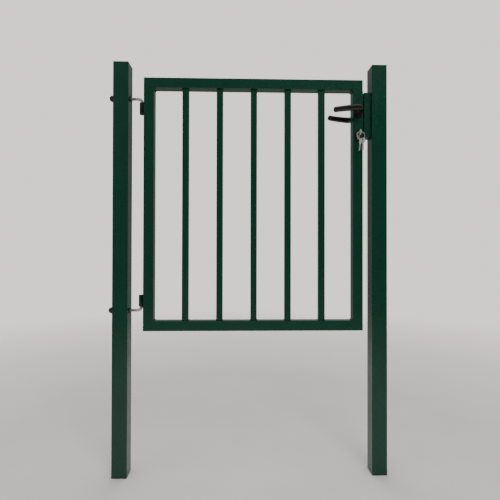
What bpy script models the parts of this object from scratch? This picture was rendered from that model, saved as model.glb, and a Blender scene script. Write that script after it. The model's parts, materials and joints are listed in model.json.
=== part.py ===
"""A single-leaf steel garden gate between two square posts, with its hinges, mortice lock, levers and keys.

Sizes are in millimetres and are scaled to metres as each piece is made. X runs from the hinge post to the
lock post, Y from the front of the gate to its back, and Z up. The origin is the middle of the hinge post's foot.
"""

import math

import bmesh
import bpy
from mathutils import Matrix, Vector

MM = 0.001
GAP = 0.3  # left between pieces that touch

# Posts and opening
POST = 60.0
POST_WALL = 2.0
POST_HEIGHT = 1625.0
CAP_LIP = 4.0
FOOT_LIP = 3.0
CAP_WALL = 2.5
CAP_DEPTH = 18.0
OPENING = 960.0

# Leaf
LEAF_WIDTH = 870.0
LEAF_HEIGHT = 1000.0
LEAF_BOTTOM = 568.0
HINGE_GAP = 57.0
FRAME = 40.0
FRAME_WALL = 2.0
BAR = 25.0
BAR_WALL = 1.5
BAR_COUNT = 5

# Hinges
ROD_RADIUS = 6.0
ROD_FROM_LEAF_END = 80.0
ROD_PAST_NUT = 2.0
BEND_RADIUS = 15.0
SLEEVE_RADIUS = 10.0
SLEEVE_BORE = 6.4
SLEEVE_LENGTH = 46.0
NUT_FLATS = 19.0
NUT_HEIGHT = 10.0
THIN_NUT_HEIGHT = 6.0
WASHER_RADIUS = 12.0
WASHER_HEIGHT = 2.5
NUT_CAP_RADIUS = 12.5
NUT_CAP_HEIGHT = 19.0
NUT_CAP_WALL = 1.2

# Lock
LEVER_BELOW_LEAF_TOP = 130.0
LEVER_TO_CYLINDER = 88.0
FACEPLATE = (3.0, 22.0, 230.0)
FACEPLATE_BELOW_LEAF_TOP = 41.0
FACEPLATE_SCREW_IN = 10.0
FACEPLATE_SCREW_RADIUS = 1.8
CYLINDER_SCREW_BELOW_PLUG = 20.0
CYLINDER_SCREW_RADIUS = 2.3
CASE_DEPTH = 37.6
CASE_HALF_WIDTH = 7.5
CASE_SHEET = 1.2
CASE_ABOVE_LEVER = 62.0
CASE_BELOW_LEVER = 118.0
SQUARE = 8.0
FOLLOWER_RADIUS = 8.0
FOLLOWER_BOSS_RADIUS = 7.0
LATCH_REACH = 34.7
LATCH_HALF_HEIGHT = 16.0
LATCH_BELOW_LEVER = 18.0
LATCH_HALF_WIDTH = 5.8
DEAD_BOLT_HALF_HEIGHT = 15.0
DEAD_BOLT_HALF_WIDTH = 5.0
DEAD_BOLT_ABOVE_CYLINDER = 32.0
PLUG_RADIUS = 6.3
CYLINDER_RADIUS = 8.5
CYLINDER_STEM = 5.0
CYLINDER_DROP = 24.5
CYLINDER_HALF_LENGTH = 30.0
CAM_RADIUS = 15.0

# Levers
NECK_RADIUS = 11.5
GRIP_RADIUS = 11.8
LEVER_STAND_OUT = 52.0
LEVER_LENGTH = 100.0
LEVER_BEND = 16.0
LEVER_RETURN = 28.0
PLATE = (33.0, 42.0, 7.0)
PLATE_SCREWS = 16.0
PLATE_SCREW_RADIUS = 1.8
ROSE = (26.0, 43.0, 6.0)
ROSE_BELOW_PLUG = 8.0
GRUB_SCREW_RADIUS = 2.4

# Keep
KEEP_STAND_OUT = 27.0
KEEP_END_SHEET = 2.4
KEEP_SHEET = 3.0
KEEP_HEIGHT = 178.0
KEEP_ABOVE_LEVER = 81.0
KEEP_FRONT = -15.0
KEEP_STOP_OVERLAP = 2.8
KEEP_TAB_OVERLAP = 12.0
KEEP_TAB_HEIGHT = 36.0
KEEP_SCREW_BELOW_TOP = 25.0
KEEP_SCREW_ABOVE_BOTTOM = 14.0
KEEP_SCREW_RADIUS = 2.9

# Keys
KEY_BOW_RADIUS = 12.0
KEY_THICKNESS = 2.4
SPARE_BOW_RADIUS = 10.5
SPARE_THICKNESS = 1.8
SPARE_HOLE_RADIUS = 3.8
SPARE_BLADE_HALF = 4.4
KEY_RING_RADIUS = 15.0
RING_WIRE = 1.0

# Places worked out from the sizes
HINGE_POST_X = 0.0
OPENING_LEFT = HINGE_POST_X + POST / 2
OPENING_RIGHT = OPENING_LEFT + OPENING
LOCK_POST_X = OPENING_RIGHT + POST / 2
LEAF_LEFT = OPENING_LEFT + HINGE_GAP
LEAF_RIGHT = LEAF_LEFT + LEAF_WIDTH
LEAF_TOP = LEAF_BOTTOM + LEAF_HEIGHT
ROD_HEIGHTS = (LEAF_TOP - ROD_FROM_LEAF_END, LEAF_BOTTOM + ROD_FROM_LEAF_END)
FACEPLATE_TOP = LEAF_TOP - FACEPLATE_BELOW_LEAF_TOP
PIVOT_X = LEAF_LEFT - SLEEVE_RADIUS - GAP
LOCK_X = LEAF_RIGHT - FRAME / 2
LEVER_Z = LEAF_TOP - LEVER_BELOW_LEAF_TOP
PLUG_Z = LEVER_Z - LEVER_TO_CYLINDER
LATCH_Z = LEVER_Z - LATCH_BELOW_LEVER
DEAD_BOLT_Z = PLUG_Z + DEAD_BOLT_ABOVE_CYLINDER
FACE = FRAME / 2
KEY_HOLE_Y = -56.0

# Linear colour, roughness, metallic
FINISHES = {
    "green_paint": ((0.010, 0.040, 0.027), 0.28, 0.0),
    "black_plastic": ((0.012, 0.012, 0.013), 0.38, 0.0),
    "zinc": ((0.55, 0.54, 0.52), 0.40, 1.0),
    "dark_zinc": ((0.16, 0.16, 0.16), 0.45, 1.0),
    "nickel": ((0.66, 0.65, 0.62), 0.22, 1.0),
    "brass": ((0.60, 0.44, 0.18), 0.32, 1.0),
    "spring_steel": ((0.40, 0.40, 0.42), 0.35, 1.0),
}


def clear_scene():
    for obj in list(bpy.data.objects):
        bpy.data.objects.remove(obj, do_unlink=True)


def new_collection(name, hidden=False):
    collection = bpy.data.collections.new(name)
    collection.hide_render = hidden
    bpy.context.scene.collection.children.link(collection)
    return collection


def make_material(name):
    colour, roughness, metallic = FINISHES[name]
    material = bpy.data.materials.new(name)
    material.use_nodes = True
    shader = material.node_tree.nodes["Principled BSDF"]
    shader.inputs["Base Color"].default_value = (*colour, 1.0)
    shader.inputs["Roughness"].default_value = roughness
    shader.inputs["Metallic"].default_value = metallic
    material.diffuse_color = (*colour, 1.0)
    return material


clear_scene()
GATE = new_collection("garden_gate")
CUTTERS = new_collection("cutters", hidden=True)
MATERIALS = {name: make_material(name) for name in FINISHES}


def metres(point):
    return Vector(point) * MM


def place(name, data, at, rotation=None, finish=None):
    """Adds an object. One with a finish is a piece of the gate, and one without is a cutter."""
    obj = bpy.data.objects.new(name, data)
    obj.location = metres(at)
    if rotation is not None:
        obj.rotation_euler = rotation.to_euler()
    if finish is None:
        obj.hide_render = True
        obj.display_type = "WIRE"
        CUTTERS.objects.link(obj)
    else:
        data.materials.append(MATERIALS[finish])
        GATE.objects.link(obj)
    return obj


def boolean(obj, operation, other):
    modifier = obj.modifiers.new(operation.lower(), "BOOLEAN")
    modifier.operation = operation
    modifier.object = other
    return obj


def cut(obj, *cutters):
    for cutter in cutters:
        boolean(obj, "DIFFERENCE", cutter)
    return obj


def join(obj, *others):
    for other in others:
        boolean(obj, "UNION", other)
    return obj


def bevel(obj, width, segments=2):
    modifier = obj.modifiers.new("bevel", "BEVEL")
    modifier.width = width * MM
    modifier.segments = segments
    modifier.limit_method = "ANGLE"
    return obj


def smooth(mesh, angle=35.0):
    mesh.shade_smooth()
    mesh.set_sharp_from_angle(angle=math.radians(angle))


def block(name, low, high, finish=None, rotation=None):
    """A box between two corners, turned about its middle if a rotation is given."""
    size = [b - a for a, b in zip(low, high)]
    middle = [(a + b) / 2 for a, b in zip(low, high)]
    bm = bmesh.new()
    bmesh.ops.create_cube(bm, size=1.0)
    bmesh.ops.scale(bm, vec=metres(size), verts=bm.verts)
    mesh = bpy.data.meshes.new(name)
    bm.to_mesh(mesh)
    bm.free()
    return place(name, mesh, middle, rotation, finish)


UPRIGHT = Matrix.Rotation(math.pi / 2, 3, "X")
ALONG = {
    "x": Matrix.Rotation(math.pi / 2, 3, "Y"),
    "y": Matrix.Rotation(-math.pi / 2, 3, "X"),
    "z": Matrix.Identity(3),
}


def rod(name, at, axis, radius, length, finish=None, sides=24):
    """A straight round bar, or a hexagonal one with six sides, with its middle at a point."""
    bm = bmesh.new()
    bmesh.ops.create_cone(
        bm,
        cap_ends=True,
        segments=sides,
        radius1=radius * MM,
        radius2=radius * MM,
        depth=length * MM,
    )
    mesh = bpy.data.meshes.new(name)
    bm.to_mesh(mesh)
    bm.free()
    if sides == 6:
        return place(name, mesh, at, ALONG[axis], finish)
    smooth(mesh)
    # turned a little, so that no two holes have corners on one line
    return place(name, mesh, at, ALONG[axis] @ Matrix.Rotation(0.07, 3, "Z"), finish)


def turned(name, at, axis, profile, finish=None, steps=24, closed=False):
    """A profile of (radius, height) points, from the top down its outer side, turned about its axis."""
    mesh = bpy.data.meshes.new(name)
    points = [(radius * MM, 0.0, height * MM) for radius, height in profile]
    edges = [(i, i + 1) for i in range(len(points) - 1)]
    if closed:
        edges.append((len(points) - 1, 0))
    mesh.from_pydata(points, edges, [])
    obj = place(name, mesh, at, ALONG[axis], finish)
    screw = obj.modifiers.new("turn", "SCREW")
    screw.steps = screw.render_steps = steps
    screw.use_merge_vertices = True
    screw.merge_threshold = 0.00001
    screw.use_smooth_shade = False
    return obj


def rounded_rectangle(width, depth, radius, steps=3):
    """The outline of a rectangle about the origin, with round corners."""
    points = []
    for quarter, (sx, sy) in enumerate(((1, 1), (-1, 1), (-1, -1), (1, -1))):
        centre = Vector((sx * (width / 2 - radius), sy * (depth / 2 - radius)))
        for i in range(steps + 1):
            angle = (quarter + i / steps) * math.pi / 2
            points.append(centre + Vector((math.cos(angle), math.sin(angle))) * radius)
    return points


def extruded(name, outlines, length, at, rotation=None, finish=None):
    """Flat outlines, the second a hole in the first, drawn out to a length and made a mesh."""
    curve = bpy.data.curves.new(name, "CURVE")
    curve.dimensions = "2D"
    curve.fill_mode = "BOTH"
    curve.extrude = length * MM / 2
    for outline in outlines:
        spline = curve.splines.new("POLY")
        spline.points.add(len(outline) - 1)
        for point, corner in zip(spline.points, outline):
            point.co = (corner[0] * MM, corner[1] * MM, 0.0, 1.0)
        spline.use_cyclic_u = True
    return as_mesh(name, curve, at, rotation, finish)


def bent(name, route, radii, finish, resolution=4):
    """A round bar or a lever along a route in the gate's own frame, with a radius for each point."""
    curve = bpy.data.curves.new(name, "CURVE")
    curve.dimensions = "3D"
    curve.bevel_depth = MM
    curve.bevel_resolution = resolution
    curve.use_fill_caps = True
    spline = curve.splines.new("POLY")
    spline.points.add(len(route) - 1)
    for point, corner, radius in zip(spline.points, route, radii):
        point.co = (*metres(corner), 1.0)
        point.radius = radius
    obj = as_mesh(name, curve, (0.0, 0.0, 0.0), None, finish)
    smooth(obj.data, 50.0)
    return obj


def as_mesh(name, curve, at, rotation, finish):
    """Turns a curve into a welded mesh, so that it can be cut."""
    drawn = bpy.data.objects.new(name + "_curve", curve)
    CUTTERS.objects.link(drawn)
    graph = bpy.context.evaluated_depsgraph_get()
    mesh = bpy.data.meshes.new_from_object(drawn.evaluated_get(graph))
    bpy.data.objects.remove(drawn)
    bm = bmesh.new()
    bm.from_mesh(mesh)
    bmesh.ops.remove_doubles(bm, verts=bm.verts, dist=0.000001)
    bmesh.ops.recalc_face_normals(bm, faces=bm.faces)
    bm.to_mesh(mesh)
    bm.free()
    mesh.name = name
    return place(name, mesh, at, rotation, finish)


def arc(centre, radius, start, end, steps):
    """Points along an upright arc, facing the front, between two angles in degrees."""
    points = []
    for i in range(steps + 1):
        angle = math.radians(start + (end - start) * i / steps)
        across, up = radius * math.cos(angle), radius * math.sin(angle)
        points.append((centre[0] + across, centre[1], centre[2] + up))
    return points


def pivot(name, at, pieces, parent=None):
    """An empty on a joint's axis, which carries the pieces that turn or slide there."""
    empty = bpy.data.objects.new(name, None)
    empty.empty_display_size = 0.05
    empty.location = metres(at)
    GATE.objects.link(empty)
    if parent is not None:
        empty.parent = parent
        empty.location -= parent_place(parent)
    for piece in pieces:
        piece.parent = empty
        piece.location -= metres(at)
    return empty


def parent_place(obj):
    """Where an unturned empty is in the gate's frame."""
    at = obj.location.copy()
    while obj.parent is not None:
        obj = obj.parent
        at += obj.location
    return at


def square_tube(name, size, wall, length, at, rotation=None):
    outlines = [
        rounded_rectangle(size, size, wall * 1.25),
        rounded_rectangle(size - 2 * wall, size - 2 * wall, wall * 0.4, 1),
    ]
    return extruded(name, outlines, length, at, rotation, "green_paint")


# ---------------------------------------------------------------- posts


def end_cap(name, x, lip, up):
    """A plastic cap in a post's end: up is 1 for the top and -1 for the foot."""
    end = POST_HEIGHT if up > 0 else 0.0
    seat = end - up * lip
    inside = POST / 2 - POST_WALL - 2 * GAP
    hollow = inside - CAP_WALL
    depth = up * CAP_DEPTH
    cap = upright_block(name, x, POST / 2, seat, end, "black_plastic")
    bevel(cap, 1.2)
    plug = upright_block(name + "_plug", x, inside, seat - depth, seat + up)
    well = upright_block(name + "_well", x, hollow, seat - depth - up, seat - up)
    return cut(join(cap, plug), well)


def upright_block(name, x, half, z_one, z_other, finish=None):
    """A square block about a post's middle line."""
    low, high = sorted((z_one, z_other))
    return block(name, (x - half, -half, low), (x + half, half, high), finish)


def post(name, x, holes):
    low, high = FOOT_LIP + GAP, POST_HEIGHT - CAP_LIP - GAP
    tube = square_tube(name, POST, POST_WALL, high - low, (x, 0.0, (low + high) / 2))
    cut(tube, *holes)
    end_cap(name + "_cap", x, CAP_LIP, 1)
    end_cap(name + "_foot", x, FOOT_LIP, -1)


def hinge_bolt(name, rod_z, pin):
    """A threaded rod through the post, bent to a pin that points down (-1) or up (1) into its sleeve."""
    nut_end = HINGE_POST_X - POST / 2 - WASHER_HEIGHT - NUT_HEIGHT - 2 * GAP
    bend = (PIVOT_X - BEND_RADIUS, 0.0, rod_z + pin * BEND_RADIUS)
    route = [(nut_end - ROD_PAST_NUT, 0.0, rod_z)]
    route += arc(bend, BEND_RADIUS, -pin * 90.0, 0.0, 8)
    route.append((PIVOT_X, 0.0, rod_z + pin * (BEND_RADIUS + SLEEVE_LENGTH - 2.0)))
    return bent(name, route, [ROD_RADIUS] * len(route), "zinc")


def threaded_ring(name, x, z, radius, height, sides):
    """A nut or washer on a hinge bolt, between x and x + height."""
    middle = (x + height / 2, 0.0, z)
    ring = rod(name, middle, "x", radius, height, "dark_zinc", sides)
    cut(ring, rod(name + "_hole", middle, "x", ROD_RADIUS + 0.35, 40.0))


def dome(radius, height):
    """The profile of a straight wall under a half-round top, from its crown down to its rim."""
    shoulder = height - radius * 0.8
    profile = []
    for i in range(6):
        angle = math.radians(90.0 - 18.0 * i)
        up = shoulder + (height - shoulder) * math.sin(angle)
        profile.append((radius * math.cos(angle) if i else 0.0, up))
    return [*profile, (radius, 0.0)]


def nut_cap(name, z):
    """A domed plastic cap over the nut on the post's outer side."""
    x = HINGE_POST_X - POST / 2 - WASHER_HEIGHT - 2 * GAP
    outside = dome(NUT_CAP_RADIUS, NUT_CAP_HEIGHT)
    inside = dome(NUT_CAP_RADIUS - NUT_CAP_WALL, NUT_CAP_HEIGHT - NUT_CAP_WALL)
    profile = outside + inside[::-1]
    cap = turned(name, (x, 0.0, z), "x", profile, "black_plastic")
    cap.rotation_euler = Matrix.Rotation(-math.pi / 2, 3, "Y").to_euler()


def hinge_fixings(prefix, z):
    """A washer, a nut and a cap on the post's outer side, and a thin nut on the leaf's side."""
    corner = NUT_FLATS / 2 / math.cos(math.pi / 6)
    washer_x = HINGE_POST_X - POST / 2 - GAP - WASHER_HEIGHT
    nut_x = washer_x - GAP - NUT_HEIGHT
    inner_x = HINGE_POST_X + POST / 2 + GAP
    for name, x, radius, height, sides in (
        ("_outer_washer", washer_x, WASHER_RADIUS, WASHER_HEIGHT, 24),
        ("_outer_nut", nut_x, corner, NUT_HEIGHT, 6),
        ("_inner_nut", inner_x, corner, THIN_NUT_HEIGHT, 6),
    ):
        threaded_ring(prefix + name, x, z, radius, height, sides)
    nut_cap(prefix + "_nut_cap", z)


QUARTER = [math.pi / 2 * i / 3 for i in range(4)]


def keep_section(web, front, rear):
    """The channel's section: a web with two flanges that run back to the post."""
    back = OPENING_RIGHT - GAP
    fold = KEEP_SHEET - 0.5
    section = [(back, front)]
    for a in QUARTER:
        across, along = fold * (1 - math.sin(a)), fold * (1 - math.cos(a))
        section.append((web + across, front + along))
    for a in QUARTER:
        across, along = fold * (1 - math.cos(a)), fold * (1 - math.sin(a))
        section.append((web + across, rear - along))
    inner, near, far = web + KEEP_SHEET, front + KEEP_SHEET, rear - KEEP_SHEET
    return [*section, (back, rear), (back, far), (inner, far), (inner, near), (back, near)]


def keep():
    """A closed channel on the lock post, with openings for both bolts and a stop behind the leaf's edge.

    Returns the post's own screw holes.
    """
    web = OPENING_RIGHT - KEEP_STAND_OUT
    inner = web + KEEP_SHEET
    top = LEVER_Z + KEEP_ABOVE_LEVER
    bottom = top - KEEP_HEIGHT
    rear = FACE + 0.8 + KEEP_SHEET
    channel = extruded(
        "keep",
        [keep_section(web, KEEP_FRONT, rear)],
        KEEP_HEIGHT,
        (0.0, 0.0, (top + bottom) / 2),
        None,
        "green_paint",
    )
    stop = block(
        "keep_stop",
        (LEAF_RIGHT - KEEP_STOP_OVERLAP, rear - KEEP_SHEET + 0.2, bottom + 1.0),
        (inner + 1.0, rear - 0.2, top - 1.0),
    )
    tab = block(
        "keep_stop_tab",
        (LEAF_RIGHT - KEEP_TAB_OVERLAP, rear - KEEP_SHEET + 0.4, top - KEEP_TAB_HEIGHT),
        (inner + 0.5, rear - 0.4, top - 2.0),
    )
    ends = [
        block(
            f"keep_end_{i}",
            (web + 1.0, KEEP_FRONT + 1.0, low),
            (OPENING_RIGHT - 2 * GAP, rear - 1.0, low + KEEP_END_SHEET),
        )
        for i, low in enumerate((bottom + GAP, top - GAP - KEEP_END_SHEET))
    ]
    latch_hole = block(
        "keep_latch_hole",
        (web - 1.0, -8.0, LATCH_Z - LATCH_HALF_HEIGHT - 2.0),
        (inner + 1.0, 8.5, LATCH_Z + LATCH_HALF_HEIGHT + 2.0),
    )
    bolt_hole = block(
        "keep_bolt_hole",
        (web - 1.0, -7.0, DEAD_BOLT_Z - DEAD_BOLT_HALF_HEIGHT - 3.0),
        (inner + 1.0, 7.0, DEAD_BOLT_Z + DEAD_BOLT_HALF_HEIGHT + 1.5),
    )
    screws = {
        "keep_screw_top": top - KEEP_SCREW_BELOW_TOP,
        "keep_screw_bottom": bottom + KEEP_SCREW_ABOVE_BOTTOM,
    }
    holes = [
        rod(f"{name}_hole", (web, 0.0, z), "x", KEEP_SCREW_RADIUS + 0.4, 60.0)
        for name, z in screws.items()
    ]
    cut(join(channel, stop, tab, *ends), latch_hole, bolt_hole, *holes)
    profile = [
        (0.0, 35.0),
        (KEEP_SCREW_RADIUS, 35.0),
        (KEEP_SCREW_RADIUS, 0.0),
        (5.4, 0.0),
        (5.0, -0.8),
        (3.2, -1.3),
        (0.0, -1.3),
    ]
    for name, z in screws.items():
        turned(name, (web - GAP, 0.0, z), "x", profile, "zinc")
    return holes


def posts():
    bolt_holes = [
        rod(f"hinge_hole_{i}", (HINGE_POST_X, 0.0, z), "x", ROD_RADIUS + 0.6, POST + 10)
        for i, z in enumerate(ROD_HEIGHTS)
    ]
    post("hinge_post", HINGE_POST_X, bolt_holes)
    post("lock_post", LOCK_POST_X, keep())
    for prefix, z, pin in zip(("upper", "lower"), ROD_HEIGHTS, (-1, 1)):
        hinge_bolt(prefix + "_hinge_bolt", z, pin)
        hinge_fixings(prefix, z)


# ---------------------------------------------------------------- leaf


def mitre(piece, corner, side):
    """Cuts a frame tube's end at 45 degrees. The corner is (1 or -1 in x, 1 or -1 in z)."""
    x = LEAF_RIGHT if corner[0] > 0 else LEAF_LEFT
    z = LEAF_TOP if corner[1] > 0 else LEAF_BOTTOM
    reach = 4 * FRAME
    half = reach / 2
    normal = Vector((-corner[0], 0.0, corner[1])) * (1 if side == "stile" else -1)
    middle = Vector((x, 0.0, z)) + normal.normalized() * (half - GAP / 2)
    cutter = block(
        f"{piece.name}_mitre_{corner[1]}_{corner[0]}",
        (middle.x - half, -half, middle.z - half),
        (middle.x + half, half, middle.z + half),
        None,
        Matrix.Rotation(math.pi / 4, 3, "Y"),
    )
    cut(piece, cutter)


def frame_tubes():
    middle_z = (LEAF_BOTTOM + LEAF_TOP) / 2
    middle_x = (LEAF_LEFT + LEAF_RIGHT) / 2
    pieces = []
    for name, x, side in (("hinge_stile", LEAF_LEFT, 1), ("lock_stile", LEAF_RIGHT, -1)):
        at = (x + side * FRAME / 2, 0.0, middle_z)
        stile = square_tube(name, FRAME, FRAME_WALL, LEAF_HEIGHT, at)
        for end in (1, -1):
            mitre(stile, (-side, end), "stile")
        pieces.append(stile)
    for name, z, side in (("top_rail", LEAF_TOP, -1), ("bottom_rail", LEAF_BOTTOM, 1)):
        at = (middle_x, 0.0, z + side * FRAME / 2)
        rail = square_tube(name, FRAME, FRAME_WALL, LEAF_WIDTH, at, ALONG["x"])
        for end in (1, -1):
            mitre(rail, (end, -side), "rail")
        pieces.append(rail)
    return pieces


def bars():
    clear = LEAF_WIDTH - 2 * FRAME
    space = (clear - BAR_COUNT * BAR) / (BAR_COUNT + 1)
    length = LEAF_HEIGHT - 2 * FRAME - 2 * GAP
    middle_z = (LEAF_BOTTOM + LEAF_TOP) / 2
    pieces = []
    for i in range(BAR_COUNT):
        x = LEAF_LEFT + FRAME + space + BAR / 2 + i * (space + BAR)
        pieces.append(
            square_tube(f"bar_{i + 1}", BAR, BAR_WALL, length, (x, 0.0, middle_z))
        )
    return pieces


def sleeve(name, rod_z, pin):
    """A tube welded to the hinge stile, which the bolt's pin stands in."""
    start = rod_z + pin * (BEND_RADIUS + GAP)
    middle = start + pin * SLEEVE_LENGTH / 2
    half = SLEEVE_LENGTH / 2
    profile = [
        (SLEEVE_RADIUS, half),
        (SLEEVE_RADIUS, -half),
        (SLEEVE_BORE, -half),
        (SLEEVE_BORE, half),
    ]
    return turned(name, (PIVOT_X, 0.0, middle), "z", profile, "green_paint", 32, True)


def euro_profile(name, length, grow, finish=None):
    """A euro cylinder's shape along Y, a round barrel with a narrow stem below it, made larger by grow."""
    radius, half = CYLINDER_RADIUS + grow, CYLINDER_STEM + grow
    start = math.asin(half / radius) - math.pi / 2
    outline = [(-half, -CYLINDER_DROP - grow), (half, -CYLINDER_DROP - grow)]
    for i in range(25):
        angle = start + (math.pi - 2 * start) * i / 24
        outline.append((radius * math.cos(angle), radius * math.sin(angle)))
    return extruded(name, [outline], length, (LOCK_X, 0.0, PLUG_Z), UPRIGHT, finish)


def lock_case():
    left = LEAF_RIGHT - CASE_DEPTH
    right = LEAF_RIGHT - 0.5
    low, high = LEVER_Z - CASE_BELOW_LEVER, LEVER_Z + CASE_ABOVE_LEVER
    sheet = CASE_SHEET
    front = -CASE_HALF_WIDTH + sheet + GAP
    tray = block(
        "lock_case", (left, front, low), (right, CASE_HALF_WIDTH, high), "zinc"
    )
    inside = block(
        "lock_case_inside",
        (left + sheet, front - 1.0, low + sheet),
        (right + 1.0, CASE_HALF_WIDTH - sheet, high - sheet),
    )
    cover = block(
        "lock_case_cover",
        (left, -CASE_HALF_WIDTH, low),
        (right, -CASE_HALF_WIDTH + sheet, high),
        "zinc",
    )
    cylinder = euro_profile("case_cylinder", 100.0, 0.5)
    boss = rod(
        "case_boss", (LOCK_X, 0.0, LEVER_Z), "y", FOLLOWER_BOSS_RADIUS + 0.4, 60.0
    )
    cut(tray, inside, boss, cylinder)
    cut(cover, boss, cylinder)
    return [tray, cover]


def faceplate():
    thick, width, height = FACEPLATE
    near = LEAF_RIGHT + GAP
    top = FACEPLATE_TOP
    plate = block(
        "lock_faceplate",
        (near, -width / 2, top - height),
        (near + thick, width / 2, top),
        "zinc",
    )
    latch_hole = block(
        "faceplate_latch_hole",
        (near - 1.0, -LATCH_HALF_WIDTH - 0.4, LATCH_Z - LATCH_HALF_HEIGHT - 0.4),
        (near + 9.0, LATCH_HALF_WIDTH + 0.4, LATCH_Z + LATCH_HALF_HEIGHT + 0.4),
    )
    bolt_hole = block(
        "faceplate_bolt_hole",
        (
            near - 1.0,
            -DEAD_BOLT_HALF_WIDTH - 0.4,
            DEAD_BOLT_Z - DEAD_BOLT_HALF_HEIGHT - 0.4,
        ),
        (
            near + 9.0,
            DEAD_BOLT_HALF_WIDTH + 0.4,
            DEAD_BOLT_Z + DEAD_BOLT_HALF_HEIGHT + 0.4,
        ),
    )
    cut(plate, latch_hole, bolt_hole)
    screws = []
    high, low = top - FACEPLATE_SCREW_IN, top - height + FACEPLATE_SCREW_IN
    for name, z, radius, length in (
        ("faceplate_screw_top", high, FACEPLATE_SCREW_RADIUS, 12.0),
        ("faceplate_screw_bottom", low, FACEPLATE_SCREW_RADIUS, 12.0),
        (
            "cylinder_screw",
            PLUG_Z - CYLINDER_SCREW_BELOW_PLUG,
            CYLINDER_SCREW_RADIUS,
            27.0,
        ),
    ):
        cone = countersunk(name + "_sink", near + thick, z, radius + 0.4, length, 0.4)
        cut(plate, cone)
        screws.append(countersunk(name, near + thick, z, radius, length, 0.0, "zinc"))
    return [plate, *screws]


def countersunk(name, x, z, radius, length, grow, finish=None, y=0.0, direction="x"):
    """A countersunk screw with its head flush with x, or its hole made larger by grow."""
    head = radius * 1.9 + grow
    profile = [
        (0.0, grow),
        (head, grow),
        (head, -0.3),
        (radius, -0.3 - (head - radius)),
        (radius, -length - grow * 5),
        (0.0, -length - grow * 5),
    ]
    return turned(name, (x, y, z), direction, profile, finish, 16)


def lock_stile_holes():
    low, high = LEVER_Z - CASE_BELOW_LEVER - 1.0, LEVER_Z + CASE_ABOVE_LEVER + 1.0
    slot = block(
        "stile_lock_slot",
        (LEAF_RIGHT - 4.0, -CASE_HALF_WIDTH - 0.4, low),
        (LEAF_RIGHT + 4.0, CASE_HALF_WIDTH + 0.4, high),
    )
    square_hole = rod("stile_lever_hole", (LOCK_X, 0.0, LEVER_Z), "y", 10.0, 60.0)
    top, bottom = FACEPLATE_TOP, FACEPLATE_TOP - FACEPLATE[2]
    radius = FACEPLATE_SCREW_RADIUS + 0.4
    screw_holes = [
        rod(f"stile_plate_screw_{i}", (LEAF_RIGHT, 0.0, z), "x", radius, 12.0)
        for i, z in enumerate((top - FACEPLATE_SCREW_IN, bottom + FACEPLATE_SCREW_IN))
    ]
    radius = PLATE_SCREW_RADIUS + 0.4
    handle_holes = [
        rod(f"stile_handle_screw_{i}", (LOCK_X, 0.0, LEVER_Z + z), "y", radius, 60.0)
        for i, z in enumerate((-PLATE_SCREWS, PLATE_SCREWS))
    ]
    cylinder_hole = euro_profile("stile_cylinder_hole", 60.0, 0.8)
    return [slot, square_hole, cylinder_hole, *screw_holes, *handle_holes]


def cylinder_body():
    """The euro cylinder's body, with room for its cam in the middle."""
    body = euro_profile("cylinder_body", 2 * CYLINDER_HALF_LENGTH, 0.0, "nickel")
    bore = rod("cylinder_bore", (LOCK_X, 0.0, PLUG_Z), "y", PLUG_RADIUS + 0.35, 100.0)
    cam_room = rod(
        "cylinder_cam_room", (LOCK_X, 0.0, PLUG_Z), "y", CAM_RADIUS + 0.6, 10.6, None, 32
    )
    screw_z = PLUG_Z - CYLINDER_SCREW_BELOW_PLUG
    screw_hole = rod(
        "cylinder_screw_hole",
        (LOCK_X, 0.0, screw_z),
        "x",
        CYLINDER_SCREW_RADIUS + 0.4,
        40.0,
    )
    return cut(body, bore, cam_room, screw_hole)


def stadium(width, height, steps=12):
    """The outline of a plate with round ends."""
    radius = width / 2
    points = []
    for end, start in ((1, 0.0), (-1, math.pi)):
        for i in range(steps + 1):
            angle = start + math.pi * i / steps
            points.append(
                (
                    radius * math.cos(angle),
                    end * (height / 2 - radius) + radius * math.sin(angle),
                )
            )
    return points


def escutcheon(name, size, z, side):
    """A black plate with round ends on the front (-1) or rear (1) of the lock stile."""
    width, height, thick = size
    y = side * (FACE + GAP + thick / 2)
    plate = extruded(
        name, [stadium(width, height)], thick, (LOCK_X, y, z), UPRIGHT, "black_plastic"
    )
    return bevel(plate, 1.0)


def escutcheons():
    pieces = []
    for name, side in (("front", -1), ("rear", 1)):
        plate = escutcheon(name + "_handle_plate", PLATE, LEVER_Z, side)
        neck_hole = rod(
            name + "_neck_hole",
            (LOCK_X, side * FACE, LEVER_Z),
            "y",
            NECK_RADIUS + 0.4,
            40.0,
            None,
            32,
        )
        cut(plate, neck_hole)
        outside = side * (FACE + GAP + PLATE[2])
        for place_name, z in (("top", PLATE_SCREWS), ("bottom", -PLATE_SCREWS)):
            screw_name = f"{name}_plate_screw_{place_name}"
            hole = handle_screw(screw_name + "_sink", outside, LEVER_Z + z, side, 0.35)
            cut(plate, hole)
            pieces.append(
                handle_screw(screw_name, outside, LEVER_Z + z, side, 0.0, "dark_zinc")
            )
        rose = escutcheon(name + "_cylinder_rose", ROSE, PLUG_Z - ROSE_BELOW_PLUG, side)
        cut(rose, euro_profile(name + "_rose_hole", 100.0, 0.4))
        pieces += [plate, rose]
    return pieces


def handle_screw(name, y, z, side, grow, finish=None):
    radius = PLATE_SCREW_RADIUS
    screw = countersunk(name, LOCK_X, z, radius, 15.0, grow, finish, y, "y")
    if side < 0:
        screw.rotation_euler = Matrix.Rotation(math.pi / 2, 3, "X").to_euler()
    return screw


# ---------------------------------------------------------------- moving parts of the lock


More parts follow.
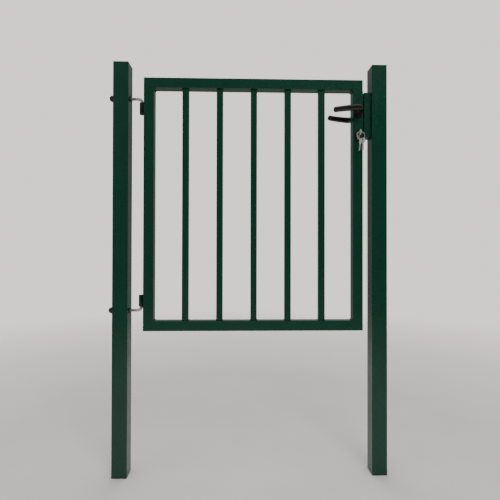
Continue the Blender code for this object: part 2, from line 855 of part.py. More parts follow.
def lever(name, side):
    """A return lever: a straight neck, a bend, and a grip that comes back towards the gate at its tip."""
    start = side * (FACE + 2 * GAP)
    out = side * (FACE + LEVER_STAND_OUT)
    bend = LEVER_BEND
    route = [
        (LOCK_X, start, LEVER_Z),
        (LOCK_X, start + side * 8.0, LEVER_Z),
        (LOCK_X, out - side * bend, LEVER_Z),
    ]
    for i in range(1, 8):
        angle = math.radians(90.0 * i / 8)
        route.append(
            (
                LOCK_X - bend * (1 - math.cos(angle)),
                out - side * bend * (1 - math.sin(angle)),
                LEVER_Z,
            )
        )
    radii = [NECK_RADIUS] * 3
    radii += [NECK_RADIUS - (NECK_RADIUS - GRIP_RADIUS) * i / 7 for i in range(1, 8)]
    for i in range(9):
        along = i / 8
        x = LOCK_X - bend - (LEVER_LENGTH - bend) * along
        y = out - side * LEVER_RETURN * along * (0.55 + 0.45 * along)
        route.append((x, y, LEVER_Z))
        radii.append(GRIP_RADIUS - 1.4 * along)
    route.append((LOCK_X - LEVER_LENGTH - 2.5, route[-1][1] - side * 0.8, LEVER_Z))
    radii.append(6.0)
    handle = bent(name, route, radii, "black_plastic", 6)
    socket = square_bar(
        name + "_socket", side * (FACE + 12.0), 30.0, SQUARE / 2 + GAP, None
    )
    screw_hole = rod(
        name + "_screw_hole", grub_screw_middle(side), "z", GRUB_SCREW_RADIUS + GAP, 8.0
    )
    return cut(handle, socket, screw_hole)


def grub_screw_middle(side):
    return (LOCK_X, side * (FACE + 14.0), LEVER_Z - SQUARE / 2 - 4.0)


def grub_screw(name, side):
    """The screw in the underside of a lever's neck, which clamps the spindle."""
    screw = rod(name, grub_screw_middle(side), "z", GRUB_SCREW_RADIUS, 6.4, "dark_zinc", 16)
    x, y, z = grub_screw_middle(side)
    socket = rod(name + "_socket", (x, y, z - 3.2), "z", 1.3, 4.0, None, 6)
    return cut(screw, socket)


def square_bar(name, middle_y, length, half, finish):
    return block(
        name,
        (LOCK_X - half, middle_y - length / 2, LEVER_Z - half),
        (LOCK_X + half, middle_y + length / 2, LEVER_Z + half),
        finish,
    )


def follower():
    """The hub that the spindle turns, with an arm on top that draws the latch back."""
    middle = (LOCK_X, 0.0, LEVER_Z)
    hub = rod("follower", middle, "y", FOLLOWER_RADIUS, 11.6, "zinc")
    boss = rod("follower_boss", middle, "y", FOLLOWER_BOSS_RADIUS, 14.6)
    arm = block(
        "follower_arm",
        (LOCK_X - 2.5, -4.5, LEVER_Z + 6.5),
        (LOCK_X + 2.5, 4.5, LEVER_Z + 15.5),
    )
    hole = square_bar("follower_square", 0.0, 30.0, SQUARE / 2 + GAP, None)
    return cut(join(hub, boss, arm), hole)


def latch():
    """The bevelled latch bolt, with a web and a bar over the follower that end in a hook behind its arm."""
    tip = LOCK_X + LATCH_REACH
    back = LEAF_RIGHT - 2.1
    wide = LATCH_HALF_WIDTH
    low, high = LATCH_Z - LATCH_HALF_HEIGHT, LATCH_Z + LATCH_HALF_HEIGHT
    head = block("latch_bolt", (back, -wide, low), (tip, wide, high), "zinc")
    tail = block("latch_tail", (LOCK_X + 4.0, -wide, low), (back + 1.0, wide, low + 20.0))
    web = block("latch_web", (back, -4.5, low), (back + 2.0, 4.5, LEVER_Z + 20.0))
    bar = block(
        "latch_bar",
        (LOCK_X - 6.1, -4.5, LEVER_Z + 16.6),
        (back + 2.0, 4.5, LEVER_Z + 20.0),
    )
    hook = block(
        "latch_hook",
        (LOCK_X - 6.1, -4.5, LEVER_Z + 10.3),
        (LOCK_X - 3.1, 4.5, LEVER_Z + 18.0),
    )
    slope = block(
        "latch_slope",
        (tip - 15.0, 0.0, low - 5.0),
        (tip + 15.0, 20.0, high + 5.0),
        None,
        Matrix.Rotation(math.radians(-40.0), 3, "Z"),
    )
    join(head, tail, web, bar, hook)
    return cut(head, slope)


def latch_spring():
    """A compression spring between the case and the latch's tail."""
    start = LEAF_RIGHT - CASE_DEPTH + CASE_SHEET + 0.5
    end = LOCK_X + 4.0 - 0.5
    turns, radius, wire = 6, 3.6, 0.45
    steps = turns * 12
    z = LATCH_Z - LATCH_HALF_HEIGHT + 10.0
    route = []
    for i in range(steps + 1):
        angle = 2 * math.pi * i / 12
        x = start + wire + (end - start - 2 * wire) * i / steps
        route.append((x, radius * math.cos(angle), z + radius * math.sin(angle)))
    return bent("latch_spring", route, [wire] * len(route), "spring_steel", 0)


def dead_bolt():
    bolt = block(
        "dead_bolt",
        (LOCK_X - 11.0, -DEAD_BOLT_HALF_WIDTH, DEAD_BOLT_Z - DEAD_BOLT_HALF_HEIGHT),
        (
            LEAF_RIGHT + GAP + FACEPLATE[0] + 1.0,
            DEAD_BOLT_HALF_WIDTH,
            DEAD_BOLT_Z + DEAD_BOLT_HALF_HEIGHT,
        ),
        "zinc",
    )
    return bevel(bolt, 0.6, 1)


def plug():
    """The cylinder's plug with its keyway."""
    barrel = rod(
        "cylinder_plug",
        (LOCK_X, 0.0, PLUG_Z),
        "y",
        PLUG_RADIUS,
        2 * CYLINDER_HALF_LENGTH + 1.0,
        "brass",
    )
    keyway = block(
        "keyway",
        (LOCK_X - 1.4, -CYLINDER_HALF_LENGTH - 2.0, PLUG_Z - 4.4),
        (LOCK_X + 1.4, -7.0, PLUG_Z + 4.4),
    )
    return cut(barrel, keyway)


def cam():
    """The bit on the plug that throws the dead bolt."""
    ring = rod("cylinder_cam", (LOCK_X, 0.0, PLUG_Z), "y", 9.5, 9.6, "zinc")
    bit = block(
        "cam_bit",
        (LOCK_X - 3.4, -4.0, PLUG_Z - CAM_RADIUS + 0.3),
        (LOCK_X + 3.4, 4.0, PLUG_Z - 8.0),
    )
    bore = rod("cam_bore", (LOCK_X, 0.0, PLUG_Z), "y", PLUG_RADIUS + GAP, 30.0)
    return cut(join(ring, bit), bore)


def key():
    """The key in the lock: its blade in the plug, and a round bow with a hole for the ring."""
    bow_y = KEY_HOLE_Y + 7.0
    bow = rod(
        "key", (LOCK_X, bow_y, PLUG_Z), "x", KEY_BOW_RADIUS, KEY_THICKNESS, "nickel"
    )
    blade = block(
        "key_blade", (LOCK_X - 1.0, bow_y, PLUG_Z - 4.0), (LOCK_X + 1.0, -8.0, PLUG_Z + 4.0)
    )
    hole = rod("key_hole", (LOCK_X, KEY_HOLE_Y, PLUG_Z), "x", 2.9, 20.0)
    return cut(join(bow, blade), hole)


def key_ring():
    bpy.ops.mesh.primitive_torus_add(
        major_segments=36,
        minor_segments=8,
        major_radius=KEY_RING_RADIUS * MM,
        minor_radius=RING_WIRE * MM,
    )
    drawn = bpy.context.object
    mesh = drawn.data
    bpy.data.objects.remove(drawn)
    mesh.name = "key_ring"
    smooth(mesh)
    return place("key_ring", mesh, ring_middle(), ALONG["y"], "nickel")


def ring_middle():
    return (LOCK_X, KEY_HOLE_Y, PLUG_Z - KEY_RING_RADIUS)


def spare_key(name, around, twist, lean):
    """A key on the ring: where along it, its turn about its length, and its lean, in degrees."""
    swing = math.radians(around)
    x, y, z = ring_middle()
    hole = (
        x + KEY_RING_RADIUS * math.sin(swing),
        y,
        z - KEY_RING_RADIUS * math.cos(swing),
    )
    turn = Matrix.Rotation(math.radians(lean), 3, "Y")
    turn = turn @ Matrix.Rotation(math.radians(twist), 3, "Z")
    thick = SPARE_THICKNESS
    bow_middle = Vector(hole) + turn @ Vector((0.0, 0.0, -6.5))
    bow = rod(name, bow_middle, "x", SPARE_BOW_RADIUS, thick, "nickel")
    bow.rotation_euler = (turn @ ALONG["x"]).to_euler()
    blade_middle = Vector(hole) + turn @ Vector((0.0, 0.0, -30.0))
    blade = block(
        name + "_blade",
        blade_middle - Vector((thick / 2, SPARE_BLADE_HALF, 15.0)),
        blade_middle + Vector((thick / 2, SPARE_BLADE_HALF, 15.0)),
        None,
        turn,
    )
    cutter = rod(name + "_hole", hole, "x", SPARE_HOLE_RADIUS, 12.0)
    cutter.rotation_euler = (turn @ ALONG["x"]).to_euler()
    return cut(join(bow, blade), cutter), hole


# ---------------------------------------------------------------- assembly


def leaf():
    tubes = frame_tubes()
    lock_stile = tubes[1]
    cut(lock_stile, *lock_stile_holes())
    sleeves = [
        sleeve(name, z, pin)
        for name, z, pin in zip(
            ("upper_hinge_sleeve", "lower_hinge_sleeve"), ROD_HEIGHTS, (-1, 1)
        )
    ]
    fixed = [
        *tubes,
        *bars(),
        *sleeves,
        *lock_case(),
        *faceplate(),
        *escutcheons(),
        cylinder_body(),
    ]
    swing = pivot("leaf_swing", (PIVOT_X, 0.0, LEAF_BOTTOM), fixed)
    handle = [
        lever("front_lever", -1),
        lever("rear_lever", 1),
        grub_screw("front_lever_screw", -1),
        grub_screw("rear_lever_screw", 1),
        square_bar("spindle", 0.0, 2 * (FACE + 24.0), SQUARE / 2, "zinc"),
        follower(),
    ]
    pivot("handle_turn", (LOCK_X, 0.0, LEVER_Z), handle, swing)
    latch_pieces = [latch(), latch_spring()]
    pivot("latch_slide", (LOCK_X, 0.0, LATCH_Z), latch_pieces, swing)
    pivot("dead_bolt_slide", (LOCK_X, 0.0, DEAD_BOLT_Z), [dead_bolt()], swing)
    turn = pivot("key_turn", (LOCK_X, 0.0, PLUG_Z), [plug(), cam(), key()], swing)
    hanging = pivot("ring_swing", (LOCK_X, KEY_HOLE_Y, PLUG_Z), [key_ring()], turn)
    for name, around, twist, lean in (
        ("spare_key_left", 0.0, 12.0, 8.0),
        ("spare_key_right", 30.0, 42.0, 0.0),
    ):
        piece, hole = spare_key(name, around, twist, lean)
        pivot(name + "_swing", hole, [piece], hanging)


posts()
leaf()
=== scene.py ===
"""The looks of the garden gate: materials, detailed hardware, welds, keys, floor, light and camera."""

import json
import math

import bmesh
import bpy
from mathutils import Matrix, Vector


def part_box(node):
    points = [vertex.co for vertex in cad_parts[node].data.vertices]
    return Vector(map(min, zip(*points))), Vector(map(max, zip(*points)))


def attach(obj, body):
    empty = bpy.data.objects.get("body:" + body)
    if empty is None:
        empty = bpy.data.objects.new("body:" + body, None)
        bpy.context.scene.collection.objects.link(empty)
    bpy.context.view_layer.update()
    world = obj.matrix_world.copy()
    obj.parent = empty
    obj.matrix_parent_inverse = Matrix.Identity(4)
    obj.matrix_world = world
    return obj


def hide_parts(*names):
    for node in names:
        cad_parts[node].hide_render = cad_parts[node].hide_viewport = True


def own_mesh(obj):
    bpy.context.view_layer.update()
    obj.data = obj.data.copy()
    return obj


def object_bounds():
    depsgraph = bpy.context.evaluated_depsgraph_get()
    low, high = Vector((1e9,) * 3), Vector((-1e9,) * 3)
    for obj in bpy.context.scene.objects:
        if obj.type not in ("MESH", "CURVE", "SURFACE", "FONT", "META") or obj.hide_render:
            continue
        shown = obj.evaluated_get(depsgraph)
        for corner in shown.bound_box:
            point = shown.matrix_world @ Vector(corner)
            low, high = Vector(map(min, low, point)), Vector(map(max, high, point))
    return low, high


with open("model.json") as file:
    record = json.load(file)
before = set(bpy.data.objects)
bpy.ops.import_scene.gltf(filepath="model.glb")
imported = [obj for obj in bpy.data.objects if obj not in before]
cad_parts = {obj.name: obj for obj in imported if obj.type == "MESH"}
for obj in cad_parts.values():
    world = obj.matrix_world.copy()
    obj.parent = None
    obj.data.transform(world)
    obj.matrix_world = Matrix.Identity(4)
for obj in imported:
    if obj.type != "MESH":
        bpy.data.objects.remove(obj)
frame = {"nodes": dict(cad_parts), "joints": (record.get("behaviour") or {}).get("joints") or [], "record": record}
cad_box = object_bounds()

MM = 0.001
PIVOTS = {j["name"]: Vector(j["pos_m"]) for j in frame["joints"] if "pos_m" in j}
SLOT_OF = {row["node"]: row["material_slot"] for row in frame["record"]["subparts"]}
BAR_COUNT = sum(slot == "bars" for slot in SLOT_OF.values())

# ---------------------------------------------------------------- materials


class Nodes:
    """A material's node tree, with short calls for the nodes used here. Lengths are in metres."""

    def __init__(self, name):
        self.material = bpy.data.materials.new(name)
        self.material.use_nodes = True
        self.tree = self.material.node_tree
        self.shader = self.tree.nodes["Principled BSDF"]
        self.coordinates = self.add("ShaderNodeTexCoord").outputs["Object"]

    def add(self, kind, **settings):
        node = self.tree.nodes.new(kind)
        for key, value in settings.items():
            setattr(node, key, value)
        return node

    def link(self, output, socket):
        self.tree.links.new(output, socket)

    def stretched(self, scale):
        """The object's coordinates, scaled along each axis to draw a noise out into lines."""
        mapping = self.add("ShaderNodeMapping")
        mapping.inputs["Scale"].default_value = scale
        self.link(self.coordinates, mapping.inputs["Vector"])
        return mapping.outputs["Vector"]

    def noise(self, scale, detail=2.0, rough=0.5, vector=None):
        node = self.add("ShaderNodeTexNoise")
        node.inputs["Scale"].default_value = scale
        node.inputs["Detail"].default_value = detail
        node.inputs["Roughness"].default_value = rough
        self.link(vector or self.coordinates, node.inputs["Vector"])
        return node.outputs["Fac"]

    def span(self, value, low, high, to_low, to_high):
        """A value's range from low to high, carried to another range and held at its ends."""
        node = self.add("ShaderNodeMapRange")
        for name, number in zip(
            ("From Min", "From Max", "To Min", "To Max"), (low, high, to_low, to_high)
        ):
            node.inputs[name].default_value = number
        self.link(value, node.inputs["Value"])
        return node.outputs["Result"]

    def maths(self, operation, first, second):
        node = self.add("ShaderNodeMath", operation=operation)
        for socket, value in zip(node.inputs, (first, second)):
            if isinstance(value, (int, float)):
                socket.default_value = value
            else:
                self.link(value, socket)
        return node.outputs["Value"]

    def mixed(self, share, first, second):
        """Two colours mixed. share 0 is all of the first."""
        node = self.add("ShaderNodeMix", data_type="RGBA")
        if isinstance(share, (int, float)):
            node.inputs["Factor"].default_value = share
        else:
            self.link(share, node.inputs["Factor"])
        for socket in node.inputs:
            if socket.type == "RGBA" and socket.name in ("A", "B"):
                value = first if socket.name == "A" else second
                if isinstance(value, tuple):
                    socket.default_value = (*value, 1.0)
                else:
                    self.link(value, socket)
        return next(o for o in node.outputs if o.type == "RGBA")

    def recesses(self, reach):
        """An ambient occlusion mask, near 0 in the open and 1 deep in a thread, groove or corner; the materials
        paint shade with it.
        """
        node = self.add("ShaderNodeAmbientOcclusion", samples=8)
        node.inputs["Distance"].default_value = reach
        return self.span(node.outputs["AO"], 0.35, 0.95, 1.0, 0.0)

    def edges(self, radius):
        """Near 1 along sharp edges, where handling thins or rubs a finish."""
        rounded = self.add("ShaderNodeBevel", samples=6)
        rounded.inputs["Radius"].default_value = radius
        geometry = self.add("ShaderNodeNewGeometry")
        dot = self.add("ShaderNodeVectorMath", operation="DOT_PRODUCT")
        self.link(rounded.outputs["Normal"], dot.inputs[0])
        self.link(geometry.outputs["Normal"], dot.inputs[1])
        return self.span(dot.outputs["Value"], 0.99, 0.82, 0.0, 1.0)

    def bump(self, height, strength, distance, below=None):
        """A bumped normal, on top of the normal of the bump below."""
        node = self.add("ShaderNodeBump")
        node.inputs["Strength"].default_value = strength
        node.inputs["Distance"].default_value = distance
        self.link(height, node.inputs["Height"])
        if below is not None:
            self.link(below, node.inputs["Normal"])
        return node.outputs["Normal"]

    def finish(self, colour, roughness, normal, **constants):
        """Joins the shader up. A constant's name is its socket's, with _ for a space."""
        self.link(colour, self.shader.inputs["Base Color"])
        self.link(roughness, self.shader.inputs["Roughness"])
        self.link(normal, self.shader.inputs["Normal"])
        for name, value in constants.items():
            self.shader.inputs[name.replace("_", " ")].default_value = value
        return self.material


def green_coat(name, light, dark):
    """Green powder coat: orange peel, faint dust streaks, paler worn edges and painted shade darkening its
    corners.
    """
    dusty = (0.016, 0.044, 0.032)
    worn = (0.020, 0.066, 0.048)
    corner_shade = (0.0015, 0.0050, 0.0035)
    n = Nodes(name)
    cloud = n.span(n.noise(5.0, 4.0, 0.6), 0.3, 0.7, 0.0, 1.0)
    colour = n.mixed(cloud, dark, light)
    streaks = n.noise(1.0, 5.0, 0.65, n.stretched((70.0, 70.0, 4.0)))
    dust = n.span(streaks, 0.58, 0.85, 0.0, 0.12)
    colour = n.mixed(dust, colour, dusty)
    patches = n.span(n.noise(45.0, 4.0), 0.45, 0.7, 0, 0.5)
    wear = n.maths("MULTIPLY", n.edges(1.2 * MM), patches)
    colour = n.mixed(wear, colour, worn)
    # Painted shade: the coat darkens towards near black where ambient occlusion finds a corner or recess.
    corner_shade_share = n.maths("MULTIPLY", n.recesses(4 * MM), 0.4)
    colour = n.mixed(corner_shade_share, colour, corner_shade)
    rough = n.span(n.noise(18.0, 5.0, 0.6), 0.3, 0.7, 0.24, 0.34)
    rough = n.maths("ADD", rough, n.maths("MULTIPLY", dust, 0.6))
    peel = n.bump(n.noise(420.0, 2.0), 0.16, 0.0004)
    peel = n.bump(n.noise(70.0, 1.0), 0.05, 0.001, peel)
    return n.finish(colour, rough, peel, IOR=1.43)


def moulded_black():
    """Matt black plastic with a fine spark-eroded grain."""
    dark, light = (0.0065, 0.0068, 0.0072), (0.011, 0.0112, 0.0115)
    worn = (0.03, 0.03, 0.031)
    n = Nodes("black_plastic")
    cloud = n.span(n.noise(30.0, 3.0), 0.35, 0.65, 0.0, 1.0)
    colour = n.mixed(cloud, dark, light)
    colour = n.mixed(n.maths("MULTIPLY", n.edges(0.8 * MM), 0.4), colour, worn)
    rough = n.span(n.noise(90.0, 4.0), 0.3, 0.7, 0.36, 0.50)
    return n.finish(colour, rough, n.bump(n.noise(1800.0, 2.0), 0.18, 0.0002))


def lever_black():
    """Satin black nylon with a fine moulding texture, rubbed smoother in places by hands."""
    dark, light = (0.0045, 0.0048, 0.0050), (0.0085, 0.0090, 0.0090)
    n = Nodes("lever_black")
    cloud = n.span(n.noise(26.0, 4.0), 0.35, 0.65, 0.0, 1.0)
    colour = n.mixed(cloud, dark, light)
    rubbed = n.span(n.noise(40.0, 3.0, 0.6), 0.40, 0.62, 0.20, 0.34)
    peel = n.bump(n.noise(650.0, 2.0), 0.10, 0.0003)
    return n.finish(colour, rubbed, peel, IOR=1.52)


def zinc(name, light, dark, rough_low, rough_high, shade_strength, metal=1.0):
    """Zinc-plated steel: clouded spangle, rougher patches and painted shade darkening its recesses."""
    bright, recess_shade = (0.72, 0.71, 0.69), (0.03, 0.03, 0.028)
    n = Nodes(name)
    cloud = n.span(n.noise(60.0, 5.0, 0.65), 0.3, 0.7, 0.0, 1.0)
    colour = n.mixed(cloud, dark, light)
    colour = n.mixed(n.maths("MULTIPLY", n.edges(0.6 * MM), 0.5), colour, bright)
    # Painted shade: the zinc darkens towards near black where ambient occlusion finds threads, grooves and
    # corners.
    colour = n.mixed(n.maths("MULTIPLY", n.recesses(1.2 * MM), shade_strength), colour, recess_shade)
    rough = n.span(n.noise(130.0, 4.0), 0.3, 0.7, rough_low, rough_high)
    return n.finish(colour, rough, n.bump(n.noise(900.0, 3.0), 0.12, 0.0002), Metallic=metal)


def brushed(name, light, dark, rough_low, rough_high, grain, metal=1.0):
    """Ground or rolled metal with fine lines along one direction and painted shade darkening its recesses."""
    hollow_shade = (0.04, 0.036, 0.03)
    n = Nodes(name)
    lines = n.noise(1.0, 4.0, 0.6, n.stretched(grain))
    colour = n.mixed(n.span(lines, 0.35, 0.65, 0.0, 1.0), dark, light)
    # Painted shade: the metal darkens towards near black where ambient occlusion finds a recess.
    colour = n.mixed(n.maths("MULTIPLY", n.recesses(0.8 * MM), 0.75), colour, hollow_shade)
    rough = n.span(n.noise(160.0, 4.0), 0.3, 0.7, rough_low, rough_high)
    return n.finish(colour, rough, n.bump(lines, 0.10, 0.0001), Metallic=metal)


GREEN = green_coat("green_powder_coat", (0.0020, 0.0490, 0.0285), (0.0012, 0.0430, 0.0245))
# Painted shade: a darker copy of the green coat for the hinge sleeves, which wear the same green and only look
# darker for the shade on their round sides.
SHADED_GREEN = green_coat("shaded_green_coat", (0.0010, 0.0230, 0.0130), (0.0006, 0.0180, 0.0100))
PLASTIC = moulded_black()
LEVER = lever_black()
ZINC = zinc(
    "zinc_plate",
    light=(0.66, 0.64, 0.62),
    dark=(0.48, 0.465, 0.45),
    rough_low=0.26,
    rough_high=0.42,
    shade_strength=0.85,
    metal=0.65,
)
DARK_ZINC = zinc(
    "dark_zinc",
    light=(0.22, 0.22, 0.225),
    dark=(0.13, 0.13, 0.133),
    rough_low=0.32,
    rough_high=0.48,
    shade_strength=0.85,
)
SPRING = zinc(
    "spring_steel",
    light=(0.42, 0.42, 0.44),
    dark=(0.30, 0.30, 0.32),
    rough_low=0.25,
    rough_high=0.40,
    shade_strength=0.6,
)
LOCK_STEEL = brushed(
    "lock_steel",
    light=(0.30, 0.285, 0.26),
    dark=(0.20, 0.19, 0.175),
    rough_low=0.32,
    rough_high=0.46,
    grain=(900.0, 900.0, 20.0),
)
NICKEL = brushed(
    "nickel",
    light=(0.94, 0.95, 0.95),
    dark=(0.83, 0.84, 0.84),
    rough_low=0.24,
    rough_high=0.38,
    grain=(200.0, 900.0, 60.0),
    metal=0.85,
)
SATIN_NICKEL = brushed(
    "satin_nickel",
    light=(0.60, 0.585, 0.56),
    dark=(0.46, 0.45, 0.43),
    rough_low=0.26,
    rough_high=0.40,
    grain=(60.0, 700.0, 60.0),
    metal=0.85,
)
BRASS = brushed(
    "brass",
    light=(0.36, 0.275, 0.14),
    dark=(0.26, 0.195, 0.095),
    rough_low=0.26,
    rough_high=0.40,
    grain=(700.0, 60.0, 700.0),
)

MATERIAL_OF_SLOT = {
    "posts": GREEN,
    "leaf_frame": GREEN,
    "bars": GREEN,
    "hinge_sleeves": SHADED_GREEN,
    "keep": GREEN,
    "post_caps": PLASTIC,
    "nut_caps": PLASTIC,
    "levers": LEVER,
    "handle_plates": PLASTIC,
    "cylinder_roses": PLASTIC,
    "hinge_bolts": ZINC,
    "hinge_nuts": DARK_ZINC,
    "screws": ZINC,
    "dark_screws": DARK_ZINC,
    "lock_faceplate": LOCK_STEEL,
    "lock_case": LOCK_STEEL,
    "lock_works": LOCK_STEEL,
    "latch_spring": SPRING,
    "spindle": LOCK_STEEL,
    "lock_cylinder": SATIN_NICKEL,
    "cylinder_plug": BRASS,
    "keys": NICKEL,
    "key_ring": NICKEL,
}

for node, slot in SLOT_OF.items():
    mesh = frame["nodes"][node].data
    mesh.materials.clear()
    mesh.materials.append(MATERIAL_OF_SLOT[slot])

# ---------------------------------------------------------------- mesh tools


def piece(name, bm, body, slot, replaces, angle):
    """Makes a piece from a bmesh in the gate's frame. Edges over the angle, in degrees, stay sharp."""
    bmesh.ops.remove_doubles(bm, verts=bm.verts, dist=1e-7)
    bmesh.ops.recalc_face_normals(bm, faces=bm.faces)
    mesh = bpy.data.meshes.new(name)
    bm.to_mesh(mesh)
    bm.free()
    mesh.shade_smooth()
    mesh.set_sharp_from_angle(angle=math.radians(angle))
    mesh.materials.append(MATERIAL_OF_SLOT[slot])
    obj = bpy.data.objects.new(name, mesh)
    bpy.context.scene.collection.objects.link(obj)
    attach(obj, body)
    if replaces:
        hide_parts(*replaces)
    return obj


def frames_along(route, normal):
    """A direction, a normal and a side at each point of a route, turning as little as possible."""
    found = []
    count = len(route)
    for i in range(count):
        ahead = route[min(i + 1, count - 1)] - route[max(i - 1, 0)]
        ahead.normalize()
        normal = (normal - ahead * normal.dot(ahead)).normalized()
        found.append((ahead, normal, ahead.cross(normal)))
    return found


def swept(bm, route, normal, offset, sides):
    """Adds a closed body along a route. offset(i, angle) gives distances along the normal and the side."""
    rings = []
    for i, (_, up, side) in enumerate(frames_along(route, normal)):
        ring = []
        for k in range(sides):
            a, b = offset(i, 2 * math.pi * k / sides)
            ring.append(bm.verts.new(route[i] + up * a + side * b))
        rings.append(ring)
    for first, second in zip(rings, rings[1:]):
        for k in range(sides):
            m = (k + 1) % sides
            bm.faces.new((first[k], first[m], second[m], second[k]))
    bm.faces.new(rings[0])
    bm.faces.new(rings[-1])


def round_offset(radii):
    """An offset for swept, for a round section with one radius for each point."""

    def offset(i, angle):
        return radii[i] * math.cos(angle), radii[i] * math.sin(angle)

    return offset


# Each axis, with the two directions across it.
AXES = {
    "x": (Vector((1, 0, 0)), Vector((0, 1, 0)), Vector((0, 0, 1))),
    "y": (Vector((0, 1, 0)), Vector((0, 0, 1)), Vector((1, 0, 0))),
    "z": (Vector((0, 0, 1)), Vector((1, 0, 0)), Vector((0, 1, 0))),
}


def revolved(bm, at, axis, profile, steps, ring=False):
    """Adds a body turned about an axis from (along, radius) points. A ring's last point joins its first."""
    along, up, side = AXES[axis]
    columns = []
    for distance, radius in profile:
        if radius < 1e-9:
            columns.append([bm.verts.new(at + along * distance)])
            continue
        column = []
        for k in range(steps):
            a = 2 * math.pi * k / steps
            column.append(
                bm.verts.new(
                    at + along * distance + (up * math.cos(a) + side * math.sin(a)) * radius
                )
            )
        columns.append(column)
    pairs = list(zip(columns, columns[1:]))
    if ring:
        pairs.append((columns[-1], columns[0]))
    for first, second in pairs:
        for k in range(steps):
            m = (k + 1) % steps
            if len(first) == 1 and len(second) > 1:
                bm.faces.new((first[0], second[k], second[m]))
            elif len(second) == 1 and len(first) > 1:
                bm.faces.new((first[k], first[m], second[0]))
            elif len(first) > 1:
                bm.faces.new((first[k], first[m], second[m], second[k]))


def solid_from(blank, cutters, name):
    """A bmesh with other bmeshes cut from it by exact Booleans."""
    mesh = bpy.data.meshes.new(name)
    blank.to_mesh(mesh)
    blank.free()
    body = bpy.data.objects.new(name, mesh)
    bpy.context.scene.collection.objects.link(body)
    helpers = []
    for i, cutter in enumerate(cutters):
        bmesh.ops.recalc_face_normals(cutter, faces=cutter.faces)
        data = bpy.data.meshes.new(f"{name}_{i}")
        cutter.to_mesh(data)
        cutter.free()
        helper = bpy.data.objects.new(f"{name}_{i}", data)
        bpy.context.scene.collection.objects.link(helper)
        helpers.append(helper)
        modifier = body.modifiers.new("cut", "BOOLEAN")
        modifier.operation = "DIFFERENCE"
        modifier.object = helper
    made = bmesh.new()
    made.from_object(body, bpy.context.evaluated_depsgraph_get())
    for obj in (body, *helpers):
        bpy.data.objects.remove(obj, do_unlink=True)
    return made


def box_bm(low, high):
    """A bmesh of the box between two corners."""
    bm = bmesh.new()
    bmesh.ops.create_cube(bm, size=1.0)
    size = Vector(high) - Vector(low)
    bmesh.ops.scale(bm, vec=size, verts=bm.verts)
    bmesh.ops.translate(bm, vec=(Vector(low) + Vector(high)) / 2, verts=bm.verts)
    return bm


def sizes(node):
    """A CAD node's low corner, high corner and middle."""
    low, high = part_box(node)
    return low, high, (low + high) / 2


# ---------------------------------------------------------------- hinges


def hinge_bolt(name, down):
    """An M12 rod with its rolled thread, bent through a quarter turn to a plain pin."""
    low, high, _ = sizes(name)
    radius = (high.y - low.y) / 2 - 0.02 * MM
    bend = 15 * MM
    pitch = 1.75 * MM
    thread_depth = 1.0 * MM
    plain_relief = 0.12 * MM
    point_relief = 0.8 * MM
    end_relief = 1.0 * MM
    steps_per_turn, bend_steps, pin_steps = 6, 16, 12
    pin_x = high.x - radius
    sense = -1 if down else 1
    rod_z = high.z - radius if down else low.z + radius
    pin_end = low.z if down else high.z
    straight_end = pin_x - bend
    thread_end = straight_end - 5 * MM

    route = []
    count = int((straight_end - low.x) / (pitch / steps_per_turn))
    for i in range(count + 1):
        route.append(Vector((low.x + (straight_end - low.x) * i / count, 0, rod_z)))
    for i in range(1, bend_steps + 1):
        a = math.pi / 2 * i / bend_steps
        x = straight_end + bend * math.sin(a)
        route.append(Vector((x, 0, rod_z + sense * bend * (1 - math.cos(a)))))
    length = abs(pin_end - route[-1].z)
    for i in range(1, pin_steps + 1):
        z = rod_z + sense * (bend + length * i / pin_steps)
        route.append(Vector((pin_x, 0, z)))

    # At each point: the radius, how deep the thread is from 0 to 1, and the turns so far.
    sections = []
    travelled = 0.0
    for i, point in enumerate(route):
        if i:
            travelled += (point - route[i - 1]).length
        threaded = min(1.0, max(0.0, (thread_end - point.x) / (3 * pitch)))
        if point.x > straight_end - 1e-9:
            threaded = 0.0
        start = min(1.0, travelled / pitch)
        sections.append((radius - (1 - start) * point_relief, threaded, travelled / pitch))
    last = len(route) - 1

    def offset(i, angle):
        r, threaded, turns = sections[i]
        turn = (turns - angle / (2 * math.pi)) % 1.0
        groove = 1 - abs(2 * turn - 1)
        groove = min(1.0, max(0.0, groove * 1.25 - 0.12))
        r -= groove * threaded * thread_depth
        r -= (1 - threaded) * plain_relief
        if i == last:
            r -= end_relief
        return r * math.cos(angle), r * math.sin(angle)

    bm = bmesh.new()
    swept(bm, route, Vector((0, 1, 0)), offset, sides=24)
    piece(name + "_thread", bm, "posts", "hinge_bolts", [name], angle=80)


def nut(name):
    """A hexagonal nut with both faces chamfered, and a countersink at each end of its bore."""
    low, high, mid = sizes(name)
    flats = min(high.y - low.y, high.z - low.z) / 2
    length = high.x - low.x
    bore = 6.2 * MM
    countersink = 0.7 * MM
    chamfer_slope = 1.73
    face_share = 0.985
    sides = 72
    levels = [0.0, 0.12, 0.22, 0.32, 0.42, 0.5, 0.58, 0.68, 0.78, 0.88, 1.0]
    turned_by = 0.0 if high.y - low.y < high.z - low.z else math.pi / 6
    bm = bmesh.new()

    def column(x, radius_of):
        ring = []
        for k in range(sides):
            a = 2 * math.pi * k / sides
            r = radius_of(a)
            ring.append(bm.verts.new((x, mid.y + r * math.cos(a), mid.z + r * math.sin(a))))
        return ring

    def bored(_):
        return bore

    def mouth(_):
        return bore + countersink

    columns = [column(low.x + countersink, bored), column(low.x, mouth)]
    for t in levels:
        depth = min(t, 1 - t) * length

        def outline(a, depth=depth):
            inside = (a - turned_by) % (math.pi / 3)
            hexagon = flats / math.cos(min(inside, math.pi / 3 - inside))
            return min(hexagon, flats * face_share + depth * chamfer_slope)

        columns.append(column(low.x + t * length, outline))
    columns += [column(high.x, mouth), column(high.x - countersink, bored)]
    for first, second in zip(columns, columns[1:] + columns[:1]):
        for k in range(sides):
            m = (k + 1) % sides
            bm.faces.new((first[k], first[m], second[m], second[k]))
    piece(name + "_hex", bm, "posts", "hinge_nuts", [name], angle=22)


